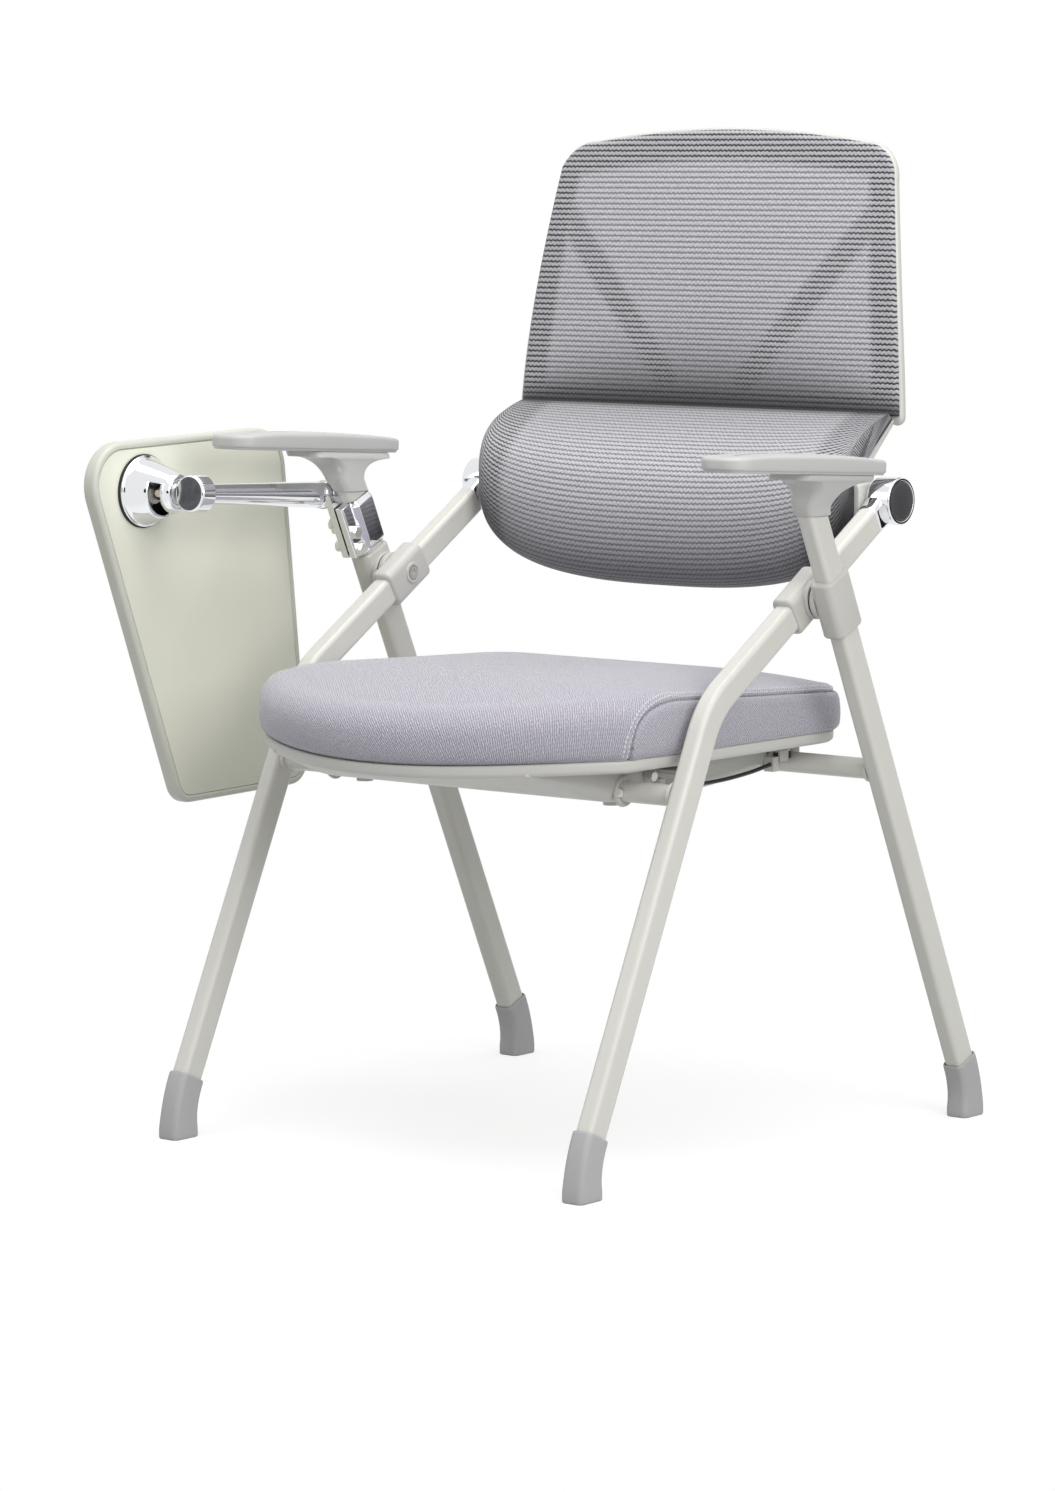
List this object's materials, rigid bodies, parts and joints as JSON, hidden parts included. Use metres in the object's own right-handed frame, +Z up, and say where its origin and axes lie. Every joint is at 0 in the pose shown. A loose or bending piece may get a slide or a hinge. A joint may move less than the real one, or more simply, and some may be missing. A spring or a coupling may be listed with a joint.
{
  "type": "training chair",
  "caption": "Folding training chair with a padded seat, mesh back with a lumbar roll, arm pads and a writing tablet that hangs beside one arm.",
  "frame": {"origin": "on the floor under the middle of the overall box", "axes": "+Z up, -Y the way the sitter faces, +X towards the sitter's left; the tablet hangs on the -X side"},
  "size_m": [0.711, 0.6134, 0.963],
  "materials": {
    "frame_paint": "satin powder coat",
    "joint_plastic": "fine satin",
    "foot_plastic": "satin",
    "arm_plastic": "fine satin",
    "pad_plastic": "soft satin",
    "shell_plastic": "satin",
    "polished_metal": "polished",
    "dark_casting": "gloss",
    "steel_screws": "satin",
    "black_plastic": "satin",
    "stop_plastic": "satin",
    "gasket_rubber": "matte",
    "tablet_face": "fine satin",
    "tablet_edge": "satin",
    "mesh_knit": "ribbed knit",
    "roll_knit": "ribbed knit",
    "seat_cloth": "fine twill",
    "board_ply": "raw",
    "cable_black": "gloss"
  },
  "bodies": {
    "front_frame": {"front_tube_left": "frame_paint", "front_tube_right": "frame_paint", "front_crossbar": "frame_paint", "front_bar_screws": "steel_screws", "front_foot_left": "foot_plastic", "front_foot_right": "foot_plastic", "front_housing_left": "joint_plastic", "front_housing_right": "joint_plastic", "back_bracket_left": "polished_metal", "back_bracket_right": "polished_metal", "bracket_caps": "black_plastic", "back_hinge_pins": "steel_screws"},
    "rear_frame": {"rear_tube_left": "frame_paint", "rear_tube_right": "frame_paint", "rear_crossbar": "frame_paint", "rear_foot_left": "foot_plastic", "rear_foot_right": "foot_plastic", "rear_housing_left": "joint_plastic", "rear_housing_right": "joint_plastic", "fold_bolts": "steel_screws", "fold_inserts": "steel_screws", "arm_support_left": "arm_plastic", "arm_support_right": "arm_plastic", "arm_pad_left": "pad_plastic", "arm_pad_right": "pad_plastic", "pad_screws": "steel_screws", "clamp_inner": "dark_casting", "clamp_outer": "polished_metal", "clamp_bolts": "steel_screws", "clamp_nuts": "steel_screws"},
    "seat": {"seat_pan": "shell_plastic", "seat_board": "board_ply", "seat_cushion": "seat_cloth", "seat_screws": "steel_screws", "seat_bumpers": "foot_plastic", "cable": "cable_black", "cable_anchors": "shell_plastic", "latch_guide": "shell_plastic", "lever_pin": "steel_screws"},
    "backrest": {"back_frame": "shell_plastic", "back_mesh": "mesh_knit", "lumbar_pad": "roll_knit", "back_bushes": "black_plastic"},
    "tablet_arm": {"tablet_arm": "polished_metal", "arm_nut": "dark_casting", "swivel_spindle": "steel_screws", "spindle_screw": "steel_screws", "stop_pin": "stop_plastic"},
    "tablet": {"tablet_bell": "polished_metal", "bell_gasket": "gasket_rubber", "tablet_board": "tablet_face", "tablet_rim": "tablet_edge", "bell_screws": "steel_screws"},
    "lever": {"release_lever": "arm_plastic"},
    "latch": {"latch_pawl": "steel_screws"}
  },
  "joints": [
    {"name": "fold", "type": "hinge", "parent": "front_frame", "child": "rear_frame", "pos_m": [0.033, 0.052, 0.522], "axis": [-1, 0, 0], "range_deg": [0, 42]},
    {"name": "seat_lift", "type": "hinge", "parent": "front_frame", "child": "seat", "pos_m": [0.033, -0.13395, 0.352], "axis": [1, 0, 0], "range_deg": [0, 63]},
    {"name": "back_tilt", "type": "hinge", "parent": "front_frame", "child": "backrest", "pos_m": [0.033, 0.18873, 0.60644], "axis": [-1, 0, 0], "range_deg": [0, 12], "stiffness_Nm_per_rad": 60, "springref_deg": -5.73},
    {"name": "tablet_flip", "type": "hinge", "parent": "rear_frame", "child": "tablet_arm", "pos_m": [-0.2705, -0.19, 0.61], "axis": [0, 0.9984, -0.0558], "range_deg": [0, 90]},
    {"name": "tablet_swivel", "type": "hinge", "parent": "tablet_arm", "child": "tablet", "pos_m": [-0.2705, -0.19, 0.61], "axis": [-1, 0, 0], "range_deg": [0, 180]},
    {"name": "release", "type": "hinge", "parent": "seat", "child": "lever", "pos_m": [0.213, -0.098, 0.363], "axis": [1, 0, 0], "range_deg": [0, 8], "stiffness_Nm_per_rad": 0.5, "springref_deg": -11.46},
    {"name": "latch_slide", "type": "slide", "parent": "seat", "child": "latch", "axis": [0, -1, 0], "range_m": [0, 0.003]}
  ],
  "couplings": [
    {"joint": "seat_lift", "follows": "fold", "ratio": 1.5},
    {"joint": "latch_slide", "follows": "release", "m_per_rad": 0.02}
  ]
}
